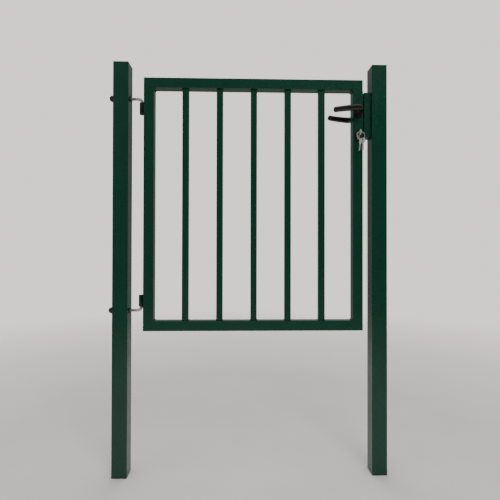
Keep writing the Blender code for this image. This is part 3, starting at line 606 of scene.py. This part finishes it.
def nut_cap(name):
    """A moulded dome with a thin rim, over the nut on the post's outer side."""
    low, high, mid = sizes(name)
    radius = (high.y - low.y) / 2
    height = high.x - low.x
    wall = 1.2 * MM
    rim = 1.4 * MM
    dome_radius = radius - 0.45 * MM
    inner_radius = radius - wall - 0.3 * MM
    shoulder = height - radius * 0.86
    outer_steps, inner_steps = 12, 9
    outside = [(0.0, radius), (rim, radius), (rim + 0.2 * MM, radius - 0.35 * MM)]
    for i in range(outer_steps):
        a = math.pi / 2 * i / outer_steps
        rise = (height - shoulder) * math.sin(a)
        outside.append((shoulder + rise, dome_radius * math.cos(a)))
    outside.append((height, 0.0))
    inside = [(height - wall, 0.0)]
    for i in range(inner_steps - 1, -1, -1):
        a = math.pi / 2 * i / inner_steps
        rise = (height - wall - shoulder) * math.sin(a)
        inside.append((shoulder + rise, inner_radius * math.cos(a)))
    inside.append((0.0, inner_radius))
    profile = [(-along, r) for along, r in outside + inside]
    bm = bmesh.new()
    revolved(bm, Vector((high.x, mid.y, mid.z)), "x", profile, steps=56, ring=True)
    piece(name + "_dome", bm, "posts", "nut_caps", [name], angle=50)


def washer(name):
    """A flat washer with eased outer edges."""
    low, high, mid = sizes(name)
    radius = (high.y - low.y) / 2
    thick = high.x - low.x
    bore = 6.4 * MM
    corner = 0.35 * MM
    profile = [
        (0.0, bore),
        (0.0, radius - corner),
        (corner, radius),
        (thick - corner, radius),
        (thick, radius - corner),
        (thick, bore),
    ]
    bm = bmesh.new()
    revolved(bm, Vector((low.x, mid.y, mid.z)), "x", profile, steps=56, ring=True)
    piece(name + "_disc", bm, "posts", "hinge_nuts", [name], angle=30)


def hinge_sleeve(name):
    """A turned tube with eased mouths."""
    low, high, mid = sizes(name)
    radius = (high.y - low.y) / 2
    length = high.z - low.z
    bore = 6.45 * MM
    mouth = 0.6 * MM
    ease = 0.9 * MM
    profile = [
        (mouth, bore),
        (0.0, bore + mouth),
        (0.0, radius - ease),
        (ease * 0.3, radius - ease * 0.3),
        (ease, radius),
        (length - ease, radius),
        (length - ease * 0.3, radius - ease * 0.3),
        (length, radius - ease),
        (length, bore + mouth),
        (length - mouth, bore),
    ]
    bm = bmesh.new()
    revolved(bm, Vector((mid.x, mid.y, low.z)), "z", profile, steps=64, ring=True)
    piece(name + "_tube", bm, "leaf", "hinge_sleeves", [name], angle=35)


for prefix, down in (("upper", True), ("lower", False)):
    hinge_bolt(prefix + "_hinge_bolt", down)
    nut(prefix + "_inner_nut")
    nut(prefix + "_outer_nut")
    washer(prefix + "_outer_washer")
    nut_cap(prefix + "_nut_cap")
    hinge_sleeve(prefix + "_hinge_sleeve")

# ---------------------------------------------------------------- welds


def bead(bm, start, end, normal, radius, seed):
    """Adds a weld bead between two points: overlapping ripples of slightly uneven width."""
    start, end = Vector(start), Vector(end)
    length = (end - start).length
    ripple = 2.1 * MM
    end_run = 1.6 * MM
    steps_per_ripple = 4
    count = max(8, int(length / ripple * steps_per_ripple))
    route, radii = [], []
    for i in range(count + 1):
        t = i / count
        route.append(start.lerp(end, t))
        wave = 0.5 + 0.5 * math.cos(2 * math.pi * (t * length / ripple))
        uneven = math.sin(seed + t * length / MM * 0.53) * 0.06
        taper = min(1.0, 0.45 + min(t, 1 - t) * length / end_run)
        radii.append(radius * taper * (0.90 + 0.10 * wave + uneven))
    swept(bm, route, Vector(normal), round_offset(radii), sides=12)


def leaf_welds():
    """Beads at the frame's mitres, at both ends of each bar, and down both sides of each hinge sleeve."""
    corner_radius, mitre_radius, bar_radius, sleeve_radius = 2.4 * MM, 0.6 * MM, 1.5 * MM, 2.2 * MM
    corner_inset = 0.6 * MM
    outer_left, outer_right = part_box("hinge_stile")[0].x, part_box("lock_stile")[1].x
    left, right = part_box("hinge_stile")[1].x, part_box("lock_stile")[0].x
    over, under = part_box("top_rail")[0].z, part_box("bottom_rail")[1].z
    top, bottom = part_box("top_rail")[1].z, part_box("bottom_rail")[0].z
    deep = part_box("hinge_stile")[1].y
    bm = bmesh.new()
    number = 0
    for x, outer_x, side in ((left, outer_left, 1), (right, outer_right, -1)):
        for z, outer_z, up in ((over, top, -1), (under, bottom, 1)):
            number += 1
            corner_x, corner_z = x + side * corner_inset, z + up * corner_inset
            near, far = -deep + 1.2 * MM, deep - 1.2 * MM
            start, end = (corner_x, near, corner_z), (corner_x, far, corner_z)
            bead(bm, start, end, (side, 0, 0), corner_radius, number)
            for face in (-1, 1):
                y = face * (deep - 0.42 * MM)
                start = (x, y, z)
                end = (outer_x + side * 2.6 * MM, y, outer_z + up * 2.6 * MM)
                bead(bm, start, end, (0, face, 0), mitre_radius, number * 3)
    for i in range(BAR_COUNT):
        low, high, _ = sizes(f"bar_{i + 1}")
        for bar_x, side in ((low.x, -1), (high.x, 1)):
            for rail_z, up in ((over, -1), (under, 1)):
                number += 1
                x, z = bar_x + side * 0.3 * MM, rail_z + up * 0.2 * MM
                start, end = (x, low.y + 1.5 * MM, z), (x, high.y - 1.5 * MM, z)
                bead(bm, start, end, (side, 0, 0), bar_radius, number)
    for name in ("upper_hinge_sleeve", "lower_hinge_sleeve"):
        low, high, _ = sizes(name)
        for face in (-1, 1):
            number += 1
            x, y = outer_left - 1.3 * MM, face * 5.6 * MM
            start, end = (x, y, low.z + 2 * MM), (x, y, high.z - 2 * MM)
            bead(bm, start, end, (-1, 0, 0), sleeve_radius, number)
    piece("leaf_welds", bm, "leaf", "leaf_frame", (), angle=80)


def keep_welds():
    """Short beads where the keep's flanges meet the lock post."""
    length, radius = 26 * MM, 1.3 * MM
    above_bottom, below_top = 12 * MM, 38 * MM
    low, high, _ = sizes("keep")
    bm = bmesh.new()
    for number, z in enumerate((low.z + above_bottom, high.z - below_top)):
        for y in (low.y + 0.2 * MM, high.y - 0.2 * MM):
            start, end = (high.x, y, z), (high.x, y, z + length)
            bead(bm, start, end, (0, 1, 0), radius, number + y * 90)
    piece("keep_welds", bm, "posts", "keep", (), angle=80)


leaf_welds()
keep_welds()

# ---------------------------------------------------------------- levers, spring and screws


def lever(name, side):
    """A moulded return lever: a round neck with a collar, a smooth elbow and a grip that comes back in."""
    low, high, _ = sizes(name)
    at = PIVOTS["handle_turn"]
    neck = high.x - at.x
    slim_neck = neck - 0.45 * MM
    grip = 11.8 * MM
    start = high.y if side < 0 else low.y
    out = low.y + grip if side < 0 else high.y - grip
    bend = 16 * MM
    return_depth = 28 * MM
    grip_taper = 1.4 * MM
    tip_round = 5.518 * MM
    neck_steps, bend_steps, grip_steps = 6, 18, 40
    route, radii = [], []

    def add(x, y, radius):
        route.append(Vector((x, y, at.z)))
        radii.append(radius)

    # How far along the neck and how much wider than it, in millimetres.
    collar = [(0.0, -0.8), (0.5, -0.1), (9.4, 0.0), (9.9, -0.35), (10.4, -0.9), (10.9, -0.55)]
    for along, wider in collar:
        add(at.x, start + side * along * MM, neck + wider * MM)
    neck_start = 12 * MM
    neck_end = out - side * bend
    neck_run = abs(neck_end - start) - neck_start
    for i in range(neck_steps + 1):
        add(at.x, start + side * (neck_start + neck_run * i / neck_steps), slim_neck)
    elbow = len(route)
    for i in range(1, bend_steps + 1):
        a = math.pi / 2 * i / bend_steps
        x = at.x - bend * (1 - math.cos(a))
        y = neck_end + side * bend * math.sin(a)
        add(x, y, slim_neck - (slim_neck - grip) * i / bend_steps)
    grip_start = at.x - bend
    run = grip_start - low.x
    for i in range(1, grip_steps + 1):
        t = i / grip_steps
        radius = grip - grip_taper * t
        left = (1 - t) * run
        if left < tip_round:
            q = 1 - left / tip_round
            radius *= math.sqrt(max(0.02, 1 - q * q))
        add(grip_start - run * t, out - side * return_depth * t * (0.55 + 0.45 * t), radius)

    def offset(i, angle):
        flat = min(1.0, max(0.0, (i - elbow) / 24))
        across = radii[i] * math.cos(angle) * (1 - 0.10 * flat)
        return across, radii[i] * math.sin(angle)

    bm = bmesh.new()
    swept(bm, route, Vector((1, 0, 0)), offset, sides=36)
    piece(name + "_moulded", bm, "handle", "levers", [name], angle=60)


def return_spring():
    """The latch's spring: open coils between two closed ones."""
    low, high, mid = sizes("latch_spring")
    wire = 0.45 * MM
    radius = (high.y - low.y) / 2 - wire
    turns, per_turn = 7, 24
    closed_pitch = 2.15 * wire
    open_pitch = (high.x - low.x - 2 * wire - 2 * closed_pitch) / (turns - 2)
    route = []
    for i in range(turns * per_turn + 1):
        turn = i / per_turn
        opened = min(max(turn - 1, 0), turns - 2)
        x = low.x + wire + closed_pitch * (turn - opened) + open_pitch * opened
        a = 2 * math.pi * turn
        route.append(Vector((x, mid.y + radius * math.cos(a), mid.z + radius * math.sin(a))))
    bm = bmesh.new()
    swept(bm, route, Vector((1, 0, 0)), round_offset([wire] * len(route)), sides=12)
    spring = piece("latch_coil", bm, "leaf", "latch_spring", ["latch_spring"], angle=60)
    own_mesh(spring)


def cross_cutters(at, axis, sense, size, depth):
    """Two crossed wedges for a screw's recess. sense is the way the head faces."""
    along, up, side = AXES[axis]
    mouth = (1.0 * MM, 0.5 * size, 0.12 * size)
    floor = (-depth, 0.25 * size, 0.09 * size)
    cutters = []
    for first, second in ((up, side), (side, up)):
        bm = bmesh.new()
        corners = []
        for reach, half, wide in (mouth, floor):
            for a, b in ((1, 1), (-1, 1), (-1, -1), (1, -1)):
                corner = at + along * sense * reach + first * a * half + second * b * wide
                corners.append(bm.verts.new(corner))
        bm.faces.new(corners[:4])
        bm.faces.new(corners[4:])
        for k in range(4):
            m = (k + 1) % 4
            bm.faces.new((corners[k], corners[m], corners[4 + m], corners[4 + k]))
        cutters.append(bm)
    return cutters


def screw(name, axis, sense, body, slot, pan=False):
    """A cross-recess screw, countersunk or pan headed, with a threaded shank behind its head."""
    low, high, mid = sizes(name)
    index = "xyz".index(axis)
    length = high[index] - low[index]
    across = (index + 1) % 3
    head = (high[across] - low[across]) / 2
    at = Vector(mid)
    at[index] = high[index] if sense > 0 else low[index]
    if pan:
        shank, deep, dome_steps = head * 0.53, 1.3 * MM, 6
        profile = [(0.0, 0.0)]
        for i in range(1, dome_steps + 1):
            a = math.pi / 2 * i / dome_steps
            profile.append((-(1 - math.cos(a)) * deep * 0.7, head * 0.93 * math.sin(a)))
        profile += [(-deep * 0.85, head), (-deep, head), (-deep, shank)]
    else:
        shank = head / 1.9
        profile = [(-0.05 * MM, 0.0), (0.0, head * 0.90), (-0.1 * MM, head * 0.97)]
        profile += [(-0.35 * MM, head), (-0.4 * MM - (head - shank), shank)]
    head_depth = -profile[-1][0]
    pitch = shank * 0.55
    root = shank * 0.8
    for i in range(int((length - head_depth) / pitch)):
        start = head_depth + (i + 0.2) * pitch
        profile += [(-start, shank), (-start - pitch * 0.35, root), (-start - pitch * 0.6, root)]
    profile += [(-length, shank * 0.6), (-length, 0.0)]
    bm = bmesh.new()
    revolved(bm, at, axis, [(d * sense, r) for d, r in profile], steps=32)
    bmesh.ops.recalc_face_normals(bm, faces=bm.faces)
    cutters = cross_cutters(at, axis, sense, head * 1.25, head * 0.45)
    made = solid_from(bm, cutters, name + "_blank")
    piece(name + "_cross", made, body, slot, [name], angle=32)


return_spring()
lever("front_lever", -1)
lever("rear_lever", 1)
for prefix, sense in (("front", -1), ("rear", 1)):
    for place in ("top", "bottom"):
        screw(f"{prefix}_plate_screw_{place}", "y", sense, "leaf", "dark_screws")
for name in ("faceplate_screw_top", "faceplate_screw_bottom", "cylinder_screw"):
    screw(name, "x", 1, "leaf", "screws")
for name in ("keep_screw_top", "keep_screw_bottom"):
    screw(name, "x", -1, "posts", "screws", pan=True)

# ---------------------------------------------------------------- keys


def extruded_bm(outline, thickness, edge):
    """An outline in Y and Z drawn out along X about 0, with small chamfers on both faces."""
    half = thickness / 2
    bm = bmesh.new()
    rings = []
    count = len(outline)
    for x, inset in ((-half, edge), (-half + edge, 0.0), (half - edge, 0.0), (half, edge)):
        ring = []
        for i, p in enumerate(outline):
            before, after = Vector(outline[i - 1]), Vector(outline[(i + 1) % count])
            tangent = (after - before).normalized()
            point = Vector(p) + Vector((-tangent.y, tangent.x)) * inset
            ring.append(bm.verts.new((x, point.x, point.y)))
        rings.append(ring)
    for first, second in zip(rings, rings[1:]):
        for k in range(count):
            m = (k + 1) % count
            bm.faces.new((first[k], first[m], second[m], second[k]))
    bm.faces.new(rings[0])
    bm.faces.new(rings[-1])
    bmesh.ops.recalc_face_normals(bm, faces=bm.faces)
    return bm


def key_outline(bow, bow_middle, blade_half, tip, shoulder):
    """The outline in Y and Z of a key that points down: a round bow, a stepped shoulder and a cut blade."""
    bow_steps = 40
    shoulder_half, edge = blade_half * 1.15, blade_half * 0.9
    blade_top, cuts_top = shoulder - 0.7 * MM, shoulder - 3.6 * MM
    cuts = (0.55, 0.15, 0.75, 0.35, 0.6)
    cuts_start = tip + 3 * MM
    pitch = (shoulder - 4 * MM - cuts_start) / len(cuts)
    neck = math.asin(shoulder_half / bow)
    outline = []
    for i in range(bow_steps + 1):
        a = -math.pi / 2 + neck + (2 * math.pi - 2 * neck) * i / bow_steps
        outline.append((bow * math.cos(a), bow_middle + bow * math.sin(a)))
    outline += [(-shoulder_half, shoulder), (-edge, blade_top), (-edge, tip + 2.6 * MM)]
    outline += [(-blade_half * 0.2, tip), (blade_half * 0.25, tip)]
    for i, cut in enumerate(cuts):
        z = cuts_start + pitch * i
        root = blade_half * (0.9 - cut)
        outline += [(edge, z), (root, z + pitch * 0.35), (root, z + pitch * 0.60)]
    outline += [(edge, cuts_top), (edge, blade_top), (shoulder_half, shoulder)]
    return outline


def bow_recess(bow, bow_middle, hole, hole_radius, span):
    """A cutter for one face of a bow: it leaves a rim, and the flat around the ring hole."""
    steps = 24
    radius = bow - 1.7 * MM
    top = hole - hole_radius - 1.2 * MM
    cut_off = math.acos(max(-1.0, min(1.0, (top - bow_middle) / radius)))
    points = []
    for i in range(steps + 1):
        a = math.pi / 2 + cut_off + (2 * math.pi - 2 * cut_off) * i / steps
        points.append((radius * math.cos(a), bow_middle + radius * math.sin(a)))
    bm = bmesh.new()
    rings = [[bm.verts.new((x, *p)) for p in points] for x in span]
    for k in range(len(points)):
        m = (k + 1) % len(points)
        bm.faces.new((rings[0][k], rings[0][m], rings[1][m], rings[1][k]))
    bm.faces.new(rings[0])
    bm.faces.new(rings[1])
    return bm


def key_blank(bow, bow_middle, blade_half, tip, hole, hole_radius, thickness, name):
    """A key pointing down -Z, with a ring hole, recessed bow faces and two grooves in each side."""
    shoulder = bow_middle - bow - 1.2 * MM
    recess_depth = 0.28 * MM
    groove_half = 0.45 * MM
    outline = key_outline(bow, bow_middle, blade_half, tip, shoulder)
    drill = bmesh.new()
    bored = [(0.0, 0.0), (0.0, hole_radius), (2 * thickness, hole_radius), (2 * thickness, 0.0)]
    revolved(drill, Vector((-thickness, 0, hole)), "x", bored, steps=32)
    cutters = [drill]
    for sense in (-1, 1):
        face = sense * thickness / 2
        span = sorted((face - sense * recess_depth, face + sense * 1.0 * MM))
        cutters.append(bow_recess(bow, bow_middle, hole, hole_radius, span))
        for y in (-blade_half * 0.45, blade_half * 0.05):
            low = (span[0], y - groove_half, tip - 1 * MM)
            high = (span[1], y + groove_half, shoulder - 1 * MM)
            cutters.append(box_bm(low, high))
    return solid_from(extruded_bm(outline, thickness, 0.18 * MM), cutters, name)


def lock_key():
    """The key in the cylinder, pointing along +Y."""
    low, high, mid = sizes("key")
    bow = (high.z - low.z) / 2
    centre_y = low.y + bow
    blank = key_blank(
        bow=bow - 0.1 * MM,
        bow_middle=0.0,
        blade_half=3.9 * MM,
        tip=-(high.y - centre_y),
        hole=centre_y - PIVOTS["ring_swing"].y,
        hole_radius=2.9 * MM,
        thickness=high.x - low.x,
        name="key_blank",
    )
    turn = Matrix.Rotation(math.pi / 2, 3, "X")
    bmesh.ops.rotate(blank, cent=(0, 0, 0), matrix=turn, verts=blank.verts)
    bmesh.ops.translate(blank, vec=(mid.x, centre_y, mid.z), verts=blank.verts)
    piece("key_cut", blank, "plug", "keys", ["key"], angle=30)


def spare_key(name, twist, lean):
    """A key that hangs from the ring, turned about its own length and leaning in X, in degrees."""
    blank = key_blank(
        bow=10.4 * MM,
        bow_middle=-6.5 * MM,
        blade_half=4.35 * MM,
        tip=-44.9 * MM,
        hole=0.0,
        hole_radius=3.75 * MM,
        thickness=1.8 * MM,
        name=name + "_blank",
    )
    turn = Matrix.Rotation(math.radians(lean), 3, "Y")
    turn = turn @ Matrix.Rotation(math.radians(twist), 3, "Z")
    bmesh.ops.rotate(blank, cent=(0, 0, 0), matrix=turn, verts=blank.verts)
    bmesh.ops.translate(blank, vec=PIVOTS[name + "_swing"], verts=blank.verts)
    piece(name + "_cut", blank, name, "keys", [name], angle=30)


def key_ring():
    """A split ring: two turns of flattened wire lying side by side."""
    low, high, mid = sizes("key_ring")
    wire = (high.y - low.y) / 2
    radius = (high.x - low.x) / 2 - wire
    turns, per_turn = 1.94, 96
    first_angle = -0.9
    crossing_start, crossing_length = 0.44, 0.12
    count = int(turns * per_turn)
    route = []
    for i in range(count + 1):
        a = first_angle + 2 * math.pi * i / per_turn
        crossed = min(1.0, max(0.0, (i / count - crossing_start) / crossing_length))
        y = mid.y + (crossed - 0.5) * wire
        route.append(Vector((mid.x + radius * math.cos(a), y, mid.z + radius * math.sin(a))))

    def offset(i, angle):
        taper = min(1.0, 0.5 + min(i, count - i) / 8)
        c, s = math.cos(angle), math.sin(angle)
        squared = (abs(c) ** 4 + abs(s) ** 4) ** -0.25
        return c * squared * wire * 0.46 * taper, s * squared * wire * 0.95 * taper

    bm = bmesh.new()
    swept(bm, route, Vector((0, 1, 0)), offset, sides=16)
    piece("split_ring", bm, "key_ring", "key_ring", ["key_ring"], angle=50)


lock_key()
spare_key("spare_key_left", 12.0, 8.0)
spare_key("spare_key_right", 42.0, 0.0)
key_ring()

# ---------------------------------------------------------------- floor, light and camera


def studio_floor():
    """A pale matt floor that fades out into the surround."""
    radius, fade_start, fade_end = 4.5, 1.2, 4.3
    low, high = cad_box
    middle = (low + high) / 2
    bm = bmesh.new()
    bmesh.ops.create_circle(bm, cap_ends=True, segments=96, radius=radius)
    bmesh.ops.translate(bm, vec=(middle.x, middle.y, low.z), verts=bm.verts)
    mesh = bpy.data.meshes.new("studio_floor")
    bm.to_mesh(mesh)
    bm.free()
    floor = bpy.data.objects.new("studio_floor", mesh)
    bpy.context.scene.collection.objects.link(floor)
    n = Nodes("pale_floor")
    cloud = n.span(n.noise(3.0, 5.0, 0.6), 0.3, 0.7, 0.0, 1.0)
    dark, light = (0.85, 0.82, 0.795), (0.89, 0.86, 0.835)
    colour = n.mixed(cloud, dark, light)
    rough = n.span(n.noise(9.0, 4.0), 0.3, 0.7, 0.55, 0.72)
    n.finish(colour, rough, n.bump(n.noise(60.0, 4.0), 0.05, 0.002))
    away = n.add("ShaderNodeVectorMath", operation="DISTANCE")
    n.link(n.coordinates, away.inputs[0])
    away.inputs[1].default_value = (middle.x, middle.y, low.z)
    shown = n.span(away.outputs["Value"], fade_start, fade_end, 1.0, 0.0)
    n.link(shown, n.shader.inputs["Alpha"])
    mesh.materials.append(n.material)


def studio_world():
    """A pale surround, which lights the gate more from behind and above than from the front."""
    world = bpy.data.worlds.new("studio")
    world.use_nodes = True
    bpy.context.scene.world = world
    tree = world.node_tree
    tree.nodes.clear()

    def add(kind, **settings):
        node = tree.nodes.new(kind)
        for key, value in settings.items():
            setattr(node, key, value)
        return node

    seen = add("ShaderNodeBackground")
    seen.inputs["Color"].default_value = (1.30, 1.215, 1.155, 1.0)
    lighting = add("ShaderNodeBackground")
    lighting.inputs["Color"].default_value = (1.0, 0.985, 0.965, 1.0)
    coordinates = add("ShaderNodeTexCoord")
    split = add("ShaderNodeSeparateXYZ")

    def ramp(axis, low, high, to_low, to_high):
        node = add("ShaderNodeMapRange")
        for name, value in zip(
            ("From Min", "From Max", "To Min", "To Max"), (low, high, to_low, to_high)
        ):
            node.inputs[name].default_value = value
        tree.links.new(split.outputs[axis], node.inputs["Value"])
        return node.outputs["Result"]

    total = add("ShaderNodeMath", operation="ADD")
    rays = add("ShaderNodeLightPath")
    mix = add("ShaderNodeMixShader")
    output = add("ShaderNodeOutputWorld")
    links = tree.links
    links.new(coordinates.outputs["Generated"], split.inputs[0])
    links.new(ramp("Y", -0.9, 0.5, 0.08, 0.30), total.inputs[0])
    links.new(ramp("Z", 0.35, 1.0, 0.0, 0.75), total.inputs[1])
    links.new(total.outputs[0], lighting.inputs["Strength"])
    links.new(rays.outputs["Is Camera Ray"], mix.inputs[0])
    links.new(lighting.outputs[0], mix.inputs[1])
    links.new(seen.outputs[0], mix.inputs[2])
    links.new(mix.outputs[0], output.inputs["Surface"])


def soft_box(name, at, aim, size, power, mirrored=True):
    """A square area light. If it isn't mirrored, it doesn't show in reflections."""
    data = bpy.data.lights.new(name, "AREA")
    data.shape = "SQUARE"
    data.size = size
    data.energy = power
    data.color = (1.0, 0.985, 0.96)
    light = bpy.data.objects.new(name, data)
    light.location = at
    light.visible_glossy = mirrored
    light.rotation_euler = (Vector(aim) - Vector(at)).to_track_quat("-Z", "Y").to_euler()
    bpy.context.scene.collection.objects.link(light)


def camera():
    """The view from in front, at about half the gate's height: nearly level, a little to the right."""
    turned, tilted, rolled = -0.0246, 0.0080, 0.0019
    data = bpy.data.cameras.new("photo_view")
    data.lens = 27.34
    data.sensor_width = 36.0
    data.clip_start = 0.05
    data.clip_end = 50.0
    view = bpy.data.objects.new("photo_view", data)
    turn = Matrix.Rotation(turned, 3, "Z")
    turn = turn @ Matrix.Rotation(math.pi / 2 + tilted, 3, "X")
    turn = turn @ Matrix.Rotation(rolled, 3, "Z")
    view.matrix_world = Matrix.Translation((0.4702, -1.5197, 0.8758)) @ turn.to_4x4()
    bpy.context.scene.collection.objects.link(view)
    bpy.context.scene.camera = view


studio_floor()
studio_world()
upper_leaf, mid_leaf = (0.5, 0.0, 0.9), (0.5, 0.0, 0.8)
soft_box("key_light", (1.4, -2.5, 3.0), upper_leaf, size=1.3, power=42.0, mirrored=False)
soft_box("fill_light", (-1.8, -1.8, 1.9), mid_leaf, size=1.8, power=7.0)
soft_box("front_light", (0.2, -3.2, 1.2), upper_leaf, size=1.6, power=8.0, mirrored=False)
soft_box("back_light", (0.4, 2.2, 2.6), mid_leaf, size=1.8, power=16.0, mirrored=False)
camera()
